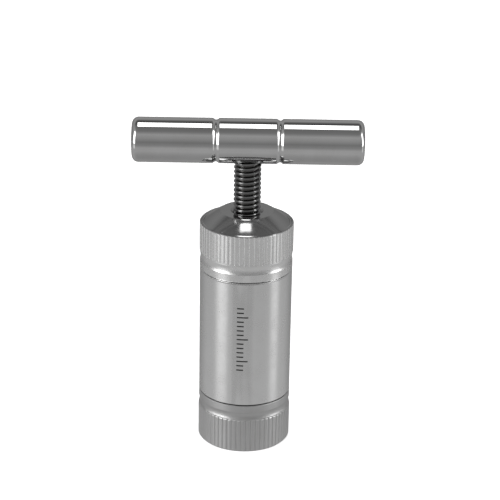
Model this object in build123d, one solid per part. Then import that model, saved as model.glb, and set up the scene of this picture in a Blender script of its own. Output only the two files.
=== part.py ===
from build123d import *
import math
import os

# T-handle screw press for compressing powder in a tube.
# Millimetres. Origin: centre of the base. +Z up along the tube, +X along the handle bar.

# ---- driving dimensions ----
BARREL_R = 13.6
BORE_R = 8.5
CAP_RING_R = 13.62
KNURL_R = 13.75
KNURL_DEPTH = 0.21
RIB_COUNT = 60
RIB_SHARE = 0.62
RIB_CROWN = 0.03
TOP_KNURL_Z = 60.0
BOTTOM_KNURL_Z = 10.4
NECK_R = 13.43
TOP_NECK_Z = (57.0, 59.6)
BOTTOM_NECK_Z = (13.0, 10.7)

BOTTOM_SEAM_Z = 15.3
TOP_SEAM_Z = 54.5
RIM_Z = 68.9
RIM_R = 13.45
RIM_CHAMFER = 0.35
LIP_R = 13.15
FOOT_R = 12.8
CREST_Z = 72.1
CREST_R = 7.8
CREST_LAND = 0.25
SLOPE_TILT = 34.5
CROWN_RISE = 0.13
BASE_CHAMFER = 0.45
SEAL_THICKNESS = 0.3
SEAL_R = 13.0
SEAL_HOLE_R = 11.8

CAP_PITCH = 1.5
CAP_THREAD_R = 11.5
CAP_THREAD_DEPTH = 0.8
CAP_LEAD_IN = 0.8
CAP_RELIEF_R = 11.8
THREAD_RELIEF = 0.9
MOUTH_RELIEF = 0.6
BOTTOM_FLOOR_Z = 5.5
TOP_CEILING_Z = 62.0
END_GAP = 1.0

SCREW_PITCH = 25.4 / 18
SCREW_R = 3.97
SCREW_DEPTH = 0.84
SCREW_THREAD_Z = (44.4, 88.6)
SCREW_LEAD_IN = 0.7
SCREW_ROUNDING = 0.12
COUNTERSINK_R = 4.8

HANDLE_Z = 93.2
HANDLE_R = 6.5
HANDLE_HALF = 33.25
HANDLE_END_ROUND = 1.9
HANDLE_GROOVE_X = 9.2
HANDLE_GROOVE_HALF = 1.15
HANDLE_GROOVE_DEPTH = 0.5
SHANK_R = 3.4
SEAT_CLEARANCE = 0.06
SHANK_TOP_Z = 96.0
SHANK_FLAT_Y = 2.8
HANDLE_SCREW_R = 2.0
HANDLE_POINT_R = 1.4

PISTON_R = 8.42
PISTON_Z = (32.0, 44.0)
DIE_CHAMFER = 0.3
DIE_LEAD_IN = 0.6
PISTON_SOCKET_R = 3.15
NOSE_R = 3.05
NOSE_END_Z = 36.1
PISTON_SCREW_Z = 40.2
PISTON_SCREW_R = 1.5
DOG_POINT_R = 1.1
NOSE_GROOVE_R = 2.2
DOG_CLEARANCE = 0.2

SLUG_Z = (5.55, 15.0)

THREAD_CLEARANCE = 0.13
THREAD_CREST = 0.34
THREAD_ROOT = 0.2
CREST_SLACK = 0.1
RIDGE_ROOTING = 0.3
EDGE = 0.2
TOP_SHOULDER_CHAMFER = 0.35
BORE_CHAMFER = 0.5

TICK_COUNT = 15
TICK_PITCH = 1.4
TICK_HEIGHT = 0.4
TICK_DEPTH = 0.12
TICK_LEFT_X = -2.4
TICK_SHORT = 2.0
TICK_LONG = 3.3
TICK_LOW_Z = 27.0
TICKS_PER_LONG = 5

BASE = (Align.CENTER, Align.CENTER, Align.MIN)


# ---- helpers ----
def rod(radius, low, high):
    """Upright round rod between two heights."""
    return Pos(0, 0, low) * Cylinder(radius, high - low, align=BASE)


def ring(outer, inner, low, high):
    """Upright plain ring between two heights."""
    return rod(outer, low, high) - rod(inner, low, high)


def turned(points):
    """Solid of revolution about Z from (radius, height) points."""
    outline = Polyline(*[(radius, 0, height) for radius, height in points], close=True)
    return revolve(make_face(outline), Axis.Z)


def thread_section(major, minor, pitch, crest, root, rounding):
    """Corners of one thread ridge as (radius, height). crest and root are shares of the pitch."""
    half_root = pitch * (1 - root) / 2
    half_crest = pitch * crest / 2
    upper = [(minor - RIDGE_ROOTING, half_root), (minor, half_root)]
    if rounding:
        flank = (half_root - half_crest) / (major - minor)
        upper.append((major - rounding, half_crest + rounding * flank))
    upper.append((major, half_crest - rounding))
    lower = [(radius, -height) for radius, height in upper]
    return lower + upper[::-1]


def helical_ridge(corners, pitch, low, high):
    """Right-hand thread ridge that runs past both heights.

    Its middle crosses the +X side at whole multiples of the pitch, so threads of one pitch are in phase.
    """
    first_turn = math.floor(low / pitch) - 1
    last_turn = math.ceil(high / pitch) + 1
    faces = []
    ends = []
    for turn in range(first_turn, last_turn):
        rails = [
            Pos(0, 0, turn * pitch + height) * Edge.make_helix(pitch, pitch, radius)
            for radius, height in corners
        ]
        for rail, next_rail in zip(rails, rails[1:] + rails[:1]):
            faces.append(Face.make_surface_from_curves(rail, next_rail))
        if turn == first_turn:
            ends.append([rail @ 0 for rail in rails])
        if turn == last_turn - 1:
            ends.append([rail @ 1 for rail in rails])
    faces += [Face(Wire(Polyline(*points, close=True).edges())) for points in ends]
    return Solid(Shell(faces))


def threaded_rod(major, depth, pitch, low, high, crest, root, rounding=0):
    """Plain-ended threaded rod between two heights."""
    core = rod(major - depth, low, high)
    corners = thread_section(major, major - depth, pitch, crest, root, rounding)
    return core + (helical_ridge(corners, pitch, low, high) & rod(major + 1, low, high))


def outer_thread(major, depth, pitch, low, high, lead_in, rounding=0):
    """Male thread with both ends chamfered."""
    blank = turned([
        (0, low),
        (major - lead_in, low),
        (major + EDGE, low + lead_in + EDGE),
        (major + EDGE, high - lead_in - EDGE),
        (major - lead_in, high),
        (0, high),
    ])
    return threaded_rod(major, depth, pitch, low, high, THREAD_CREST, THREAD_ROOT, rounding) & blank


def tap(major, depth, pitch, low, high):
    """Cutter for the female thread that runs clear on outer_thread."""
    crest = THREAD_CREST + CREST_SLACK
    root = THREAD_ROOT - CREST_SLACK
    return threaded_rod(major + THREAD_CLEARANCE, depth, pitch, low, high, crest, root)


def knurl_cutter(low, high):
    """What is cut away between the straight knurl's ribs."""
    half_pitch = math.pi / RIB_COUNT
    half_rib = RIB_SHARE * half_pitch
    shoulder = KNURL_R - RIB_CROWN
    root = KNURL_R - KNURL_DEPTH

    def at(angle, radius):
        return (radius * math.cos(angle), radius * math.sin(angle))

    edges = []
    for rib in range(RIB_COUNT):
        middle = 2 * half_pitch * rib
        start = at(middle - half_rib, shoulder)
        finish = at(middle + half_rib, shoulder)
        valley = at(middle + half_pitch, root)
        next_start = at(middle + 2 * half_pitch - half_rib, shoulder)
        edges.append(ThreePointArc(start, at(middle, KNURL_R), finish).edge())
        edges.append(ThreePointArc(finish, valley, next_start).edge())
    ribbed = extrude(Pos(0, 0, low) * Face(Wire(edges)), high - low)
    return rod(KNURL_R + 1, low, high) - ribbed


def cap_blank(seam, neck, knurl_start, ending):
    """Solid cap: smooth ring at the seam, round-bottomed neck, knurl land, then the ending's edges."""
    inward = 1 if knurl_start > seam else -1
    first = Polyline(
        (0, 0, seam),
        (CAP_RING_R - EDGE, 0, seam),
        (CAP_RING_R, 0, seam + inward * EDGE),
        (CAP_RING_R, 0, neck[0]),
    )
    hollow = ThreePointArc(first @ 1, (NECK_R, 0, sum(neck) / 2), (CAP_RING_R, 0, neck[1]))
    knurl = Polyline(
        hollow @ 1,
        (CAP_RING_R, 0, knurl_start),
        (KNURL_R, 0, knurl_start + inward * EDGE),
        ending[0] @ 0,
    )
    axis = Line(ending[-1] @ 1, (0, 0, seam))
    outline = Wire([*first.edges(), hollow.edge(), *knurl.edges(), *ending, axis.edge()])
    return revolve(Face(outline), Axis.Z)


# ---- sub-parts ----
def make_barrel():
    """Tube with an outer thread on each reduced end."""
    low_shoulder = BOTTOM_SEAM_Z + SEAL_THICKNESS / 2
    high_shoulder = TOP_SEAM_Z - SEAL_THICKNESS / 2
    middle = turned([
        (0, low_shoulder),
        (BARREL_R - EDGE, low_shoulder),
        (BARREL_R, low_shoulder + EDGE),
        (BARREL_R, high_shoulder - TOP_SHOULDER_CHAMFER),
        (BARREL_R - TOP_SHOULDER_CHAMFER, high_shoulder),
        (0, high_shoulder),
    ])
    low_end = BOTTOM_FLOOR_Z + END_GAP
    high_end = TOP_CEILING_Z - END_GAP
    lower = outer_thread(CAP_THREAD_R, CAP_THREAD_DEPTH, CAP_PITCH, low_end, low_shoulder, CAP_LEAD_IN)
    upper = outer_thread(CAP_THREAD_R, CAP_THREAD_DEPTH, CAP_PITCH, high_shoulder, high_end, CAP_LEAD_IN)
    body = middle + lower + upper
    bore = turned([
        (0, low_end),
        (BORE_R + BORE_CHAMFER, low_end),
        (BORE_R, low_end + BORE_CHAMFER),
        (BORE_R, high_end - BORE_CHAMFER),
        (BORE_R + BORE_CHAMFER, high_end),
        (0, high_end),
    ])
    body -= bore
    for tick in range(TICK_COUNT):
        length = TICK_LONG if tick % TICKS_PER_LONG == TICKS_PER_LONG // 2 else TICK_SHORT
        place = Pos(TICK_LEFT_X, -BARREL_R, TICK_LOW_Z + tick * TICK_PITCH)
        mark = Box(length, 1, TICK_HEIGHT, align=(Align.MIN, Align.CENTER, Align.CENTER))
        body -= (place * mark) - rod(BARREL_R - TICK_DEPTH, BOTTOM_SEAM_Z, TOP_SEAM_Z)
    return body


def crown_edges():
    """Outline of the top cap's end: rim, thin lip, slightly crowned cone, narrow land and flat crest."""
    fall = math.tan(math.radians(SLOPE_TILT))
    lip_z = RIM_Z + (RIM_R - LIP_R) * fall
    land_r = CREST_R + CREST_LAND
    land_z = CREST_Z - CREST_LAND * fall
    foot_z = land_z - (FOOT_R - land_r) * fall
    middle_r = (FOOT_R + land_r) / 2 + CROWN_RISE * math.sin(math.radians(SLOPE_TILT))
    middle_z = (foot_z + land_z) / 2 + CROWN_RISE * math.cos(math.radians(SLOPE_TILT))
    rim = Polyline(
        (KNURL_R, 0, RIM_Z - RIM_CHAMFER),
        (RIM_R, 0, RIM_Z),
        (LIP_R, 0, lip_z),
        (FOOT_R, 0, foot_z),
    )
    slope = ThreePointArc(rim @ 1, (middle_r, 0, middle_z), (land_r, 0, land_z))
    crest = Polyline(slope @ 1, (CREST_R, 0, CREST_Z), (0, 0, CREST_Z))
    return [*rim.edges(), slope.edge(), *crest.edges()]


def make_top_cap():
    """Screw cap with a coned top, tapped for the spindle."""
    seam = TOP_SEAM_Z + SEAL_THICKNESS / 2
    cap = cap_blank(seam, TOP_NECK_Z, TOP_KNURL_Z, crown_edges())
    cap -= knurl_cutter(TOP_KNURL_Z, RIM_Z + 1)
    cap -= tap(CAP_THREAD_R, CAP_THREAD_DEPTH, CAP_PITCH, seam - 0.5, TOP_CEILING_Z)
    cap -= rod(CAP_RELIEF_R, TOP_CEILING_Z - THREAD_RELIEF, TOP_CEILING_Z)
    cap -= rod(CAP_RELIEF_R, seam, seam + MOUTH_RELIEF)
    cap -= tap(SCREW_R, SCREW_DEPTH, SCREW_PITCH, TOP_CEILING_Z - 1, CREST_Z + 1)
    countersink_depth = COUNTERSINK_R - SCREW_R
    cap -= turned([
        (0, CREST_Z - countersink_depth),
        (SCREW_R, CREST_Z - countersink_depth),
        (COUNTERSINK_R, CREST_Z),
        (COUNTERSINK_R, CREST_Z + 1),
        (0, CREST_Z + 1),
    ])
    return cap


def make_bottom_cap():
    """Screw cap with a flat floor that the tube stands on."""
    seam = BOTTOM_SEAM_Z - SEAL_THICKNESS / 2
    base = Polyline((KNURL_R, 0, BASE_CHAMFER), (KNURL_R - BASE_CHAMFER, 0, 0), (0, 0, 0))
    cap = cap_blank(seam, BOTTOM_NECK_Z, BOTTOM_KNURL_Z, base.edges())
    cap -= knurl_cutter(-1, BOTTOM_KNURL_Z)
    cap -= tap(CAP_THREAD_R, CAP_THREAD_DEPTH, CAP_PITCH, BOTTOM_FLOOR_Z, seam + 0.5)
    cap -= rod(CAP_RELIEF_R, BOTTOM_FLOOR_Z, BOTTOM_FLOOR_Z + THREAD_RELIEF)
    cap -= rod(CAP_RELIEF_R, seam - MOUTH_RELIEF, seam)
    return cap


def make_seal(middle):
    """Thin flat washer nipped between a barrel shoulder and a cap."""
    half = SEAL_THICKNESS / 2
    return ring(SEAL_R, SEAL_HOLE_R, middle - half, middle + half)


def make_spindle():
    """Threaded spindle: turned shank for the handle above, grooved nose for the piston below."""
    low, high = SCREW_THREAD_Z
    thread = outer_thread(SCREW_R, SCREW_DEPTH, SCREW_PITCH, low, high, SCREW_LEAD_IN, SCREW_ROUNDING)
    spindle = thread + rod(SHANK_R, high - 0.1, SHANK_TOP_Z) + rod(NOSE_R, NOSE_END_Z, low + 0.1)
    flat = Pos(0, SHANK_FLAT_Y, HANDLE_Z) * Box(10, 5, 5, align=(Align.CENTER, Align.MIN, Align.CENTER))
    spindle -= flat
    half_groove = DOG_POINT_R + DOG_CLEARANCE
    return spindle - ring(SCREW_R, NOSE_GROOVE_R, PISTON_SCREW_Z - half_groove, PISTON_SCREW_Z + half_groove)


def make_handle_bar():
    """Round cross bar with rounded ends, two smooth turned grooves and a stepped hole for the spindle."""
    bottom = HANDLE_R - HANDLE_GROOVE_DEPTH
    outline = [Line((-HANDLE_HALF, 0), (-HANDLE_HALF, HANDLE_R)).edge()]
    start = (-HANDLE_HALF, HANDLE_R)
    for middle in (-HANDLE_GROOVE_X, HANDLE_GROOVE_X):
        low = (middle - HANDLE_GROOVE_HALF, HANDLE_R)
        high = (middle + HANDLE_GROOVE_HALF, HANDLE_R)
        fall_x = middle - HANDLE_GROOVE_HALF / 2
        rise_x = middle + HANDLE_GROOVE_HALF / 2
        outline.append(Line(start, low).edge())
        outline.append(Bezier(low, (fall_x, HANDLE_R), (fall_x, bottom), (middle, bottom)).edge())
        outline.append(Bezier((middle, bottom), (rise_x, bottom), (rise_x, HANDLE_R), high).edge())
        start = high
    outline += Polyline(start, (HANDLE_HALF, HANDLE_R), (HANDLE_HALF, 0), (-HANDLE_HALF, 0)).edges()
    bar = revolve(Face(Wire(outline)), Axis.X)
    circles = bar.edges().filter_by(GeomType.CIRCLE)
    rims = circles.filter_by(lambda edge: abs(edge.center().X) > HANDLE_HALF - 0.1)
    bar = Pos(0, 0, HANDLE_Z) * fillet(rims, HANDLE_END_ROUND)
    bar -= rod(SCREW_R + SEAT_CLEARANCE, HANDLE_Z - HANDLE_R - 1, SCREW_THREAD_Z[1])
    bar -= rod(SHANK_R, SCREW_THREAD_Z[1] - 1, SHANK_TOP_Z + 0.3)
    bar -= Pos(0, 0, HANDLE_Z) * Rot(-90, 0, 0) * Cylinder(HANDLE_SCREW_R, HANDLE_R + 1, align=BASE)
    return bar


def set_screw(radius, point_radius, point_length, length, socket):
    """Headless screw along Z: point at the origin, hexagon socket at the far end."""
    screw = rod(point_radius, 0, point_length + 0.1) + rod(radius, point_length, length)
    hexagon = extrude(RegularPolygon(socket / 2, 6, major_radius=False), 0.4 * length)
    return screw - Pos(0, 0, 0.6 * length) * hexagon


def make_handle_set_screw():
    """Locks the bar on the spindle from the back of the bar."""
    screw = set_screw(HANDLE_SCREW_R, HANDLE_POINT_R, point_length=0.5, length=3.2, socket=2.0)
    return Pos(0, SHANK_FLAT_Y, HANDLE_Z) * Rot(-90, 0, 0) * screw


def make_piston():
    """Plunger that swivels on the spindle's nose."""
    low, high = PISTON_Z
    piston = turned([
        (0, low),
        (PISTON_R - DIE_CHAMFER, low),
        (PISTON_R, low + DIE_CHAMFER),
        (PISTON_R, high - DIE_LEAD_IN),
        (PISTON_R - DIE_LEAD_IN, high),
        (0, high),
    ])
    piston -= rod(PISTON_SOCKET_R, NOSE_END_Z - 0.1, high)
    cross_hole = Cylinder(PISTON_SCREW_R, PISTON_R + 1, align=BASE)
    return piston - Pos(0, 0, PISTON_SCREW_Z) * Rot(-90, 0, 0) * cross_hole


def make_piston_set_screw():
    """Its dog point runs in the groove of the spindle's nose."""
    screw = set_screw(PISTON_SCREW_R, DOG_POINT_R, point_length=1.2, length=5.5, socket=1.5)
    return Pos(0, NOSE_GROOVE_R + DOG_CLEARANCE, PISTON_SCREW_Z) * Rot(-90, 0, 0) * screw


def make_bottom_slug():
    """Loose lower die that the powder is pressed against."""
    low, high = SLUG_Z
    return turned([
        (0, low),
        (PISTON_R - DIE_LEAD_IN, low),
        (PISTON_R, low + DIE_LEAD_IN),
        (PISTON_R, high - DIE_CHAMFER),
        (PISTON_R - DIE_CHAMFER, high),
        (0, high),
    ])


parts = {
    "barrel": make_barrel(),
    "top_cap": make_top_cap(),
    "top_seal_washer": make_seal(TOP_SEAM_Z),
    "bottom_cap": make_bottom_cap(),
    "bottom_seal_washer": make_seal(BOTTOM_SEAM_Z),
    "bottom_slug": make_bottom_slug(),
    "piston": make_piston(),
    "piston_set_screw": make_piston_set_screw(),
    "spindle": make_spindle(),
    "handle_bar": make_handle_bar(),
    "handle_set_screw": make_handle_set_screw(),
}

os.makedirs("parts", exist_ok=True)
for name, solid in parts.items():
    export_step(solid, f"parts/{name}.step")
    print(name, len(solid.solids()), round(solid.volume, 1), solid.is_valid)
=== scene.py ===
import bpy
import math
from mathutils import Matrix, Vector


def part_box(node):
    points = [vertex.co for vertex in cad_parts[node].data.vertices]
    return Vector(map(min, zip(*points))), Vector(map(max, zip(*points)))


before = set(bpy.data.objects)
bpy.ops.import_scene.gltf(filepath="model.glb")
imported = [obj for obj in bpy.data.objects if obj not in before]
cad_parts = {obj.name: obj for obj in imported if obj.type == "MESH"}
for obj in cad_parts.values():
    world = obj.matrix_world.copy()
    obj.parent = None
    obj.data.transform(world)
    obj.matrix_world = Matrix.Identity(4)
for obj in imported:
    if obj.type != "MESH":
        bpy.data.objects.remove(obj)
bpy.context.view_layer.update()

# All lengths are metres, in the part's frame: origin at the centre of the base, +X along the bar.
MM = 0.001
BARREL_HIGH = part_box("barrel")[1]
SPINDLE_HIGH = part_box("spindle")[1]
TOP_CAP_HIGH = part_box("top_cap")[1]
BARREL_R = BARREL_HIGH[0]
SPINDLE_R = SPINDLE_HIGH[0]
CONE_HEIGHT = 3.4 * MM
CONE_FOOT_Z = TOP_CAP_HIGH[2] - CONE_HEIGHT

# Camera. Angles are radians, lens and sensor are millimetres.
CAMERA_PITCH = 0.381
CAMERA_YAW = 0.0022
CAMERA_ROLL = -0.017
CAMERA_PLACE = (0, -0.4861, 0.2543)
CAMERA_LENS = 128.5
CAMERA_SENSOR = 36
CAMERA_CLIP = 0.01

# Studio. A direction is a unit vector x, y, z, and z is its height.
# The room's brightness, from straight down at 0 to straight up at 1.
ROOM_STOPS = (
    (0.00, 0.33),
    (0.15, 0.45),
    (0.28, 0.44),
    (0.38, 0.30),
    (0.53, 0.23),
    (0.70, 0.35),
    (0.84, 0.42),
    (0.93, 0.23),
    (1.00, 0.18),
)
BACK_HIGH_DIM = 0.62
BACK_LOW_DIM = 0.35
# The softbox overhead, as slopes x/z and y/z, with the softness of its edges.
OVERHEAD_X = (-0.15, 0.09, 0.04)
OVERHEAD_Y = (-0.04, 0.38, 0.05)
OVERHEAD_POWER = 3.2
# The strip boxes: azimuth, half width and soft edge in degrees, and power.
STRIPS = (
    (-61, 5, 15, 1.7),
    (78, 4, 11, 1.4),
)
# The two heights that a strip box covers: lowest, highest, softness, and share of its power.
STRIP_UPPER = (-0.05, 0.62, 0.12)
STRIP_UPPER_SHARE = 2.4
STRIP_LOWER = (-0.36, -0.05, 0.2)
STRIP_LOWER_SHARE = 0.3
TINY = 0.001

# Floor and backdrop.
FLOOR_HALF = 6.0
FLOOR_TONE = 0.9
FLOOR_GLOW = 0.72
BACKDROP_R = 5.8
BACKDROP_HEIGHT = 4.0
BACKDROP_SIDES = 96
BACKDROP_GLOW = 1.0
STAGE_ROUGHNESS = 0.9

# Pointiness of convex edges and of concave corners.
CONVEX = (0.52, 0.6)
CONCAVE = (0.40, 0.48)

# Colour sockets of a Mix node.
MIX_A = 6
MIX_B = 7
MIX_RESULT = 2


class Graph:
    """A node tree, with short calls for the nodes used here."""

    def __init__(self, tree):
        self.nodes = tree.nodes
        self.links = tree.links

    def put(self, socket, value):
        """Sets a socket from a number, a colour or another node's output."""
        if isinstance(value, bpy.types.NodeSocket):
            self.links.new(value, socket)
        elif isinstance(value, (int, float)) and hasattr(socket.default_value, "__len__"):
            for axis in range(len(socket.default_value)):
                socket.default_value[axis] = value
        else:
            socket.default_value = value

    def coordinates(self, kind):
        return self.nodes.new("ShaderNodeTexCoord").outputs[kind]

    def split(self, vector):
        node = self.nodes.new("ShaderNodeSeparateXYZ")
        self.put(node.inputs[0], vector)
        return node.outputs[0], node.outputs[1], node.outputs[2]

    def join(self, x, y, z):
        node = self.nodes.new("ShaderNodeCombineXYZ")
        for socket, value in zip(node.inputs, (x, y, z)):
            self.put(socket, value)
        return node.outputs[0]

    def math(self, operation, a, b=0.0, c=0.0):
        node = self.nodes.new("ShaderNodeMath")
        node.operation = operation
        for socket, value in zip(node.inputs, (a, b, c)):
            self.put(socket, value)
        return node.outputs[0]

    def add(self, a, b):
        return self.math("ADD", a, b)

    def multiply(self, a, b):
        return self.math("MULTIPLY", a, b)

    def hypot(self, a, b):
        return self.math("SQRT", self.add(self.multiply(a, a), self.multiply(b, b)))

    def slope(self, side, height):
        """How far a direction leans towards side, for each unit that it rises."""
        return self.math("DIVIDE", side, self.math("MAXIMUM", height, TINY))

    def dimmed(self, value, mask, share):
        """Value, less a share of it where the mask is 1."""
        return self.multiply(value, self.math("MULTIPLY_ADD", mask, -share, 1.0))

    def noise(self, vector, scale, detail=3.0, roughness=0.5):
        node = self.nodes.new("ShaderNodeTexNoise")
        self.put(node.inputs["Vector"], vector)
        node.inputs["Scale"].default_value = scale
        node.inputs["Detail"].default_value = detail
        node.inputs["Roughness"].default_value = roughness
        return node.outputs["Fac"]

    def span(self, value, low, high, to_low=0.0, to_high=1.0):
        """Maps low..high to to_low..to_high, clamped and smooth at both ends."""
        node = self.nodes.new("ShaderNodeMapRange")
        node.interpolation_type = "SMOOTHSTEP"
        self.put(node.inputs["Value"], value)
        node.inputs["From Min"].default_value = low
        node.inputs["From Max"].default_value = high
        node.inputs["To Min"].default_value = to_low
        node.inputs["To Max"].default_value = to_high
        return node.outputs["Result"]

    def between(self, value, low, high, soft):
        """1 from low to high, falling to 0 over soft outside them."""
        rise = self.span(value, low - soft, low)
        fall = self.span(value, high, high + soft, to_low=1.0, to_high=0.0)
        return self.multiply(rise, fall)

    def ramp(self, value, stops):
        """Grey ramp from (position, brightness) stops."""
        node = self.nodes.new("ShaderNodeValToRGB")
        self.put(node.inputs[0], value)
        elements = node.color_ramp.elements
        while len(elements) < len(stops):
            elements.new(0.5)
        for element, (position, brightness) in zip(elements, stops):
            element.position = position
            element.color = grey(brightness)
        return node.outputs["Color"]

    def mix(self, factor, a, b):
        node = self.nodes.new("ShaderNodeMix")
        node.data_type = "RGBA"
        self.put(node.inputs[0], factor)
        self.put(node.inputs[MIX_A], a)
        self.put(node.inputs[MIX_B], b)
        return node.outputs[MIX_RESULT]

    def bump(self, height, strength, distance):
        node = self.nodes.new("ShaderNodeBump")
        node.inputs["Strength"].default_value = strength
        node.inputs["Distance"].default_value = distance
        self.put(node.inputs["Height"], height)
        return node.outputs["Normal"]

    def convex(self):
        """Near 1 on convex edges, 0 elsewhere."""
        geometry = self.nodes.new("ShaderNodeNewGeometry")
        return self.span(geometry.outputs["Pointiness"], *CONVEX)

    def concave(self):
        """Near 1 in grooves and inner corners, 0 elsewhere."""
        geometry = self.nodes.new("ShaderNodeNewGeometry")
        return self.span(geometry.outputs["Pointiness"], *CONCAVE, to_low=1.0, to_high=0.0)

    def surface(self, shader, colour, roughness, normal):
        """Wires a shader's colour, roughness and normal."""
        self.put(shader.inputs["Base Color"], colour)
        self.put(shader.inputs["Roughness"], roughness)
        self.put(shader.inputs["Normal"], normal)


def grey(value, warm=0.0):
    """A grey colour. Warm moves it from blue towards red."""
    return (value * (1 + warm), value, value * (1 - warm), 1)


def new_material(name):
    material = bpy.data.materials.new(name)
    material.use_nodes = True
    g = Graph(material.node_tree)
    return material, g, g.nodes["Principled BSDF"]


# ---- camera ----
def make_camera():
    """Long lens, 22 degrees above the object, rolled by about a degree."""
    forward = Vector((
        math.sin(CAMERA_YAW) * math.cos(CAMERA_PITCH),
        math.cos(CAMERA_YAW) * math.cos(CAMERA_PITCH),
        -math.sin(CAMERA_PITCH),
    ))
    right = forward.cross(Vector((0, 0, 1))).normalized()
    down = forward.cross(right)
    right_rolled = math.cos(CAMERA_ROLL) * right + math.sin(CAMERA_ROLL) * down
    up = right_rolled.cross(forward)
    data = bpy.data.cameras.new("camera")
    data.sensor_width = CAMERA_SENSOR
    data.lens = CAMERA_LENS
    data.clip_start = CAMERA_CLIP
    camera = bpy.data.objects.new("camera", data)
    bpy.context.scene.collection.objects.link(camera)
    axes = Matrix((right_rolled, up, -forward)).transposed()
    camera.matrix_world = Matrix.Translation(CAMERA_PLACE) @ axes.to_4x4()
    bpy.context.scene.camera = camera


# ---- studio ----
def room_light(g, y, z):
    """Grey room, darker behind the object."""
    room = g.ramp(g.math("MULTIPLY_ADD", z, 0.5, 0.5), ROOM_STOPS)
    back_high = g.multiply(g.span(y, 0.0, 0.35), g.span(z, 0.5, 0.85))
    room = g.dimmed(room, back_high, BACK_HIGH_DIM)
    back_low = g.multiply(g.span(y, 0.35, 0.85), g.span(z, -0.3, -0.1, to_low=1.0, to_high=0.0))
    return g.dimmed(room, back_low, BACK_LOW_DIM)


def overhead_light(g, x, y, z):
    """Rectangular softbox above the object."""
    along = g.between(g.slope(x, z), *OVERHEAD_X)
    across = g.between(g.slope(y, z), *OVERHEAD_Y)
    return g.multiply(g.multiply(along, across), OVERHEAD_POWER)


def strip_light(g, x, y, z, azimuth, half_width, soft, power):
    """Tall soft strip box, azimuth degrees round from +X."""
    angle = math.radians(azimuth)
    outer_cosine = math.cos(math.radians(half_width + soft))
    inner_cosine = math.cos(math.radians(half_width))
    flat = g.math("MAXIMUM", g.hypot(x, y), TINY)
    towards = g.add(g.multiply(x, math.sin(angle)), g.multiply(y, -math.cos(angle)))
    nearness = g.math("DIVIDE", towards, flat)
    upper = g.multiply(g.between(z, *STRIP_UPPER), STRIP_UPPER_SHARE)
    lower = g.multiply(g.between(z, *STRIP_LOWER), STRIP_LOWER_SHARE)
    strip = g.multiply(g.span(nearness, outer_cosine, inner_cosine), g.add(upper, lower))
    return g.multiply(strip, power)


def make_world():
    """Grey studio with one overhead softbox and a tall soft strip box at each side."""
    world = bpy.data.worlds.new("studio")
    bpy.context.scene.world = world
    world.use_nodes = True
    g = Graph(world.node_tree)
    background = g.nodes["Background"]
    x, y, z = g.split(g.coordinates("Generated"))
    light = g.add(room_light(g, y, z), overhead_light(g, x, y, z))
    for strip in STRIPS:
        light = g.add(light, strip_light(g, x, y, z, *strip))
    g.put(background.inputs["Strength"], light)
    background.inputs["Color"].default_value = grey(1.0)


def stage_surface(name, points, faces, tone, glow):
    """A pale surface that stands round the object, and that polished metal doesn't mirror."""
    mesh = bpy.data.meshes.new(name)
    mesh.from_pydata(points, [], faces)
    surface = bpy.data.objects.new(name, mesh)
    bpy.context.scene.collection.objects.link(surface)
    material, g, shader = new_material(name + "_white")
    shader.inputs["Base Color"].default_value = grey(tone)
    shader.inputs["Roughness"].default_value = STAGE_ROUGHNESS
    shader.inputs["Specular IOR Level"].default_value = 0.0
    shader.inputs["Emission Color"].default_value = grey(1.0)
    shader.inputs["Emission Strength"].default_value = glow
    mesh.materials.append(material)
    surface.visible_glossy = False
    return surface


def make_floor():
    """Wide pale floor."""
    corners = [
        (-FLOOR_HALF, -FLOOR_HALF, 0),
        (FLOOR_HALF, -FLOOR_HALF, 0),
        (FLOOR_HALF, FLOOR_HALF, 0),
        (-FLOOR_HALF, FLOOR_HALF, 0),
    ]
    stage_surface("floor", corners, [(0, 1, 2, 3)], FLOOR_TONE, FLOOR_GLOW)


def make_backdrop():
    """Round pale wall that only the camera sees, so low views don't end at the horizon."""
    count = BACKDROP_SIDES
    points = []
    for height in (0.0, BACKDROP_HEIGHT):
        for step in range(count):
            angle = 2 * math.pi * step / count
            points.append((BACKDROP_R * math.cos(angle), BACKDROP_R * math.sin(angle), height))
    faces = []
    for step in range(count):
        following = (step + 1) % count
        faces.append((step, following, count + following, count + step))
    wall = stage_surface("backdrop", points, faces, 0.0, BACKDROP_GLOW)
    wall.visible_diffuse = False
    wall.visible_shadow = False


# ---- materials ----
# Noise scales are in cycles for each metre. A tone is a metal's brightness from 0 to 1.
def new_metal(name, roughness, anisotropy=0.0):
    material, g, shader = new_material(name)
    shader.inputs["Metallic"].default_value = 1.0
    shader.inputs["Roughness"].default_value = roughness
    shader.inputs["Anisotropic"].default_value = anisotropy
    if anisotropy:
        tangent = g.nodes.new("ShaderNodeTangent")
        tangent.direction_type = "RADIAL"
        tangent.axis = "Z"
        g.links.new(tangent.outputs["Tangent"], shader.inputs["Tangent"])
    return material, g, shader


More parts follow.
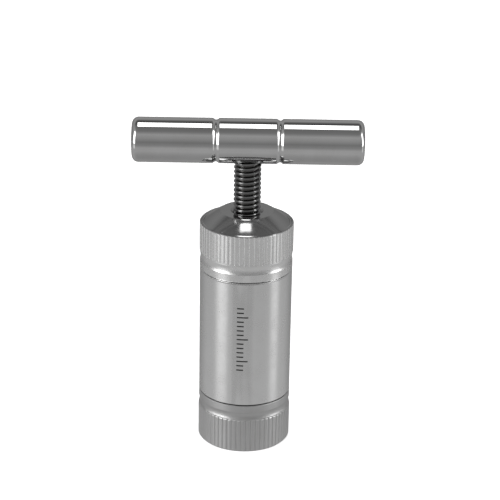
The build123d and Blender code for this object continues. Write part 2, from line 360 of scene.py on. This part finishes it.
def satin_steel(name, tone, rough=0.0, polished_above=None, etched=False):
    """Turned satin steel: fine lines round the axis, cloudy sheen, bright worn edges, and painted shade
    that darkens grooves and inner corners.
    """
    material, g, shader = new_metal(name, roughness=0.3, anisotropy=0.35)
    place = g.coordinates("Object")
    x, y, z = g.split(place)
    stretched = g.join(g.multiply(x, 0.04), g.multiply(y, 0.04), z)
    rings = g.noise(stretched, scale=9000, detail=2.0, roughness=0.6)
    cloud = g.noise(place, scale=160, detail=4.0, roughness=0.6)
    specks = g.noise(place, scale=2600, detail=2.0, roughness=0.5)
    edges = g.convex()
    groove_shade = g.concave()
    colour = g.mix(rings, grey(tone * 0.93), grey(tone * 1.05))
    colour = g.mix(g.span(cloud, 0.35, 0.7), colour, grey(tone * 0.94, warm=0.004))
    # Painted shade: grooves and inner corners are darkened in the colour.
    colour = g.mix(g.multiply(groove_shade, 0.55), colour, grey(tone * 0.45))
    colour = g.mix(g.multiply(edges, 0.6), colour, grey(min(1.0, tone * 1.25)))
    cloudy = g.span(cloud, 0.3, 0.75, to_low=0.25 + rough, to_high=0.33 + rough)
    roughness = g.add(cloudy, g.span(specks, 0.3, 0.7, to_low=-0.02, to_high=0.03))
    roughness = g.add(roughness, g.multiply(edges, -0.08))
    if polished_above is not None:
        colour, roughness = polished_cone_painted_dark(g, z, cloud, polished_above, tone, colour, roughness)
    if etched:
        colour, roughness = etched_scale(g, x, y, z, colour, roughness)
    g.surface(shader, colour, roughness, g.bump(rings, strength=0.12, distance=0.02 * MM))
    return material


def polished_cone_painted_dark(g, z, cloud, above, tone, colour, roughness):
    """Turns satin to polish above a height, and paints the polished cone darker as a painted dark
    reflection.
    """
    polished = g.span(z, above - 0.1 * MM, above + 0.1 * MM)
    smooth = g.span(cloud, 0.3, 0.75, to_low=0.10, to_high=0.15)
    roughness = g.mix(polished, roughness, smooth)
    # Painted reflection: the polished cone's colour is darkened to stand in for the dark surroundings it
    # mirrors.
    colour = g.mix(polished, colour, grey(tone * 0.45))
    return colour, roughness


def etched_scale(g, x, y, z, colour, roughness):
    """Blackens the floors of the ticks cut into the front of the barrel."""
    depth = g.math("SUBTRACT", BARREL_R, g.hypot(x, y))
    cut = g.span(depth, 0.03 * MM, 0.07 * MM)
    front = g.span(y, -0.9 * BARREL_R, -0.8 * BARREL_R, to_low=1.0, to_high=0.0)
    middle = g.between(z, 20 * MM, 50 * MM, 1 * MM)
    mark = g.multiply(g.multiply(cut, front), middle)
    colour = g.mix(mark, colour, grey(0.05))
    roughness = g.mix(mark, roughness, 0.6)
    return colour, roughness


def mirror_steel(name, tone):
    """Polished bar: near mirror, with hairline polishing marks and a painted shade line that darkens the
    grooves.
    """
    material, g, shader = new_metal(name, roughness=0.05)
    place = g.coordinates("Object")
    x, y, z = g.split(place)
    stretched = g.join(x, g.multiply(y, 0.02), g.multiply(z, 0.02))
    around = g.noise(stretched, scale=5200, detail=2.0, roughness=0.6)
    smear = g.noise(place, scale=120, detail=4.0, roughness=0.65)
    edges = g.convex()
    groove_shade = g.concave()
    colour = g.mix(g.span(smear, 0.35, 0.7), grey(tone), grey(tone * 0.95, warm=0.004))
    # Painted shade: the grooves are darkened in the colour.
    colour = g.mix(g.multiply(groove_shade, 0.5), colour, grey(tone * 0.4))
    colour = g.mix(g.multiply(edges, 0.35), colour, grey(min(1.0, tone * 1.2)))
    smeared = g.span(smear, 0.3, 0.75, to_low=0.035, to_high=0.075)
    roughness = g.add(smeared, g.span(around, 0.45, 0.75, to_low=0.0, to_high=0.03))
    g.surface(shader, colour, roughness, g.bump(around, strength=0.03, distance=0.01 * MM))
    return material


def thread_steel(name, tone):
    """Rolled thread: bright rubbed crests, and painted shade that darkens the roots."""
    material, g, shader = new_metal(name, roughness=0.18)
    place = g.coordinates("Object")
    x, y, z = g.split(place)
    radius = g.hypot(x, y)
    shaded_roots = g.span(radius, SPINDLE_R - 0.8 * MM, SPINDLE_R - 0.4 * MM, to_low=1.0, to_high=0.0)
    rub = g.noise(place, scale=900, detail=4.0, roughness=0.6)
    stretched = g.join(g.multiply(x, 0.1), g.multiply(y, 0.1), z)
    streak = g.noise(stretched, scale=7000, detail=2.0)
    # Painted shade: the thread roots are darkened, with a slight warm tint.
    colour = g.mix(shaded_roots, grey(tone), grey(tone * 0.55, warm=0.03))
    colour = g.mix(g.span(rub, 0.5, 0.75, to_low=0.0, to_high=0.35), colour, grey(tone * 0.6))
    rubbed = g.span(rub, 0.3, 0.7, to_low=0.1, to_high=0.17)
    roughness = g.add(rubbed, g.multiply(shaded_roots, 0.12))
    g.surface(shader, colour, roughness, g.bump(streak, strength=0.1, distance=0.01 * MM))
    return material


def turned_steel(name, tone):
    """Machined faces: concentric tool marks, light oil."""
    material, g, shader = new_metal(name, roughness=0.25)
    place = g.coordinates("Object")
    x, y, z = g.split(place)
    radius = g.hypot(x, y)
    marks = g.noise(g.join(radius, z, 0.0), scale=6000, detail=2.0, roughness=0.6)
    cloud = g.noise(place, scale=220, detail=4.0, roughness=0.6)
    colour = g.mix(marks, grey(tone * 0.9), grey(tone * 1.06))
    colour = g.mix(g.multiply(g.convex(), 0.5), colour, grey(tone * 1.2))
    roughness = g.span(cloud, 0.3, 0.7, to_low=0.18, to_high=0.32)
    g.surface(shader, colour, roughness, g.bump(marks, strength=0.25, distance=0.02 * MM))
    return material


def black_steel(name):
    """Oiled black screw with bright worn corners."""
    material, g, shader = new_metal(name, roughness=0.4)
    cloud = g.noise(g.coordinates("Object"), scale=1500, detail=4.0, roughness=0.6)
    colour = g.mix(g.span(cloud, 0.35, 0.7), grey(0.05), grey(0.11, warm=0.05))
    colour = g.mix(g.multiply(g.convex(), 0.8), colour, grey(0.4))
    roughness = g.span(cloud, 0.3, 0.7, to_low=0.3, to_high=0.5)
    g.surface(shader, colour, roughness, g.bump(cloud, strength=0.1, distance=0.02 * MM))
    return material


def black_plastic(name):
    """Matt black washer with a faint moulded grain."""
    material, g, shader = new_material(name)
    grain = g.noise(g.coordinates("Object"), scale=4000, detail=3.0, roughness=0.6)
    colour = g.mix(grain, grey(0.015), grey(0.04))
    roughness = g.span(grain, 0.3, 0.7, to_low=0.5, to_high=0.7)
    g.surface(shader, colour, roughness, g.bump(grain, strength=0.2, distance=0.02 * MM))
    return material


def dress(material, *names):
    """Gives CAD nodes their finished material."""
    for name in names:
        for material_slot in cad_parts[name].material_slots:
            material_slot.link = "OBJECT"
            material_slot.material = material


bpy.context.scene.view_settings.view_transform = "Standard"
make_camera()
make_world()
make_floor()
make_backdrop()
# Painted light: barrel and caps are one satin steel. The top cap's tone is painted lighter and the bottom
# cap's painted darker than the barrel.
dress(satin_steel("barrel_satin", tone=0.78, etched=True), "barrel")
dress(satin_steel("top_cap_satin_painted_light", tone=0.9, polished_above=CONE_FOOT_Z), "top_cap")
dress(satin_steel("bottom_cap_satin_painted_shade", tone=0.6, rough=0.12), "bottom_cap")
dress(mirror_steel("bar_mirror", tone=0.66), "handle_bar")
dress(thread_steel("spindle_thread", tone=0.26), "spindle")
dress(turned_steel("piston_turned", tone=0.58), "piston", "bottom_slug")
dress(black_steel("screw_black"), "handle_set_screw", "piston_set_screw")
dress(black_plastic("washer_black"), "top_seal_washer", "bottom_seal_washer")
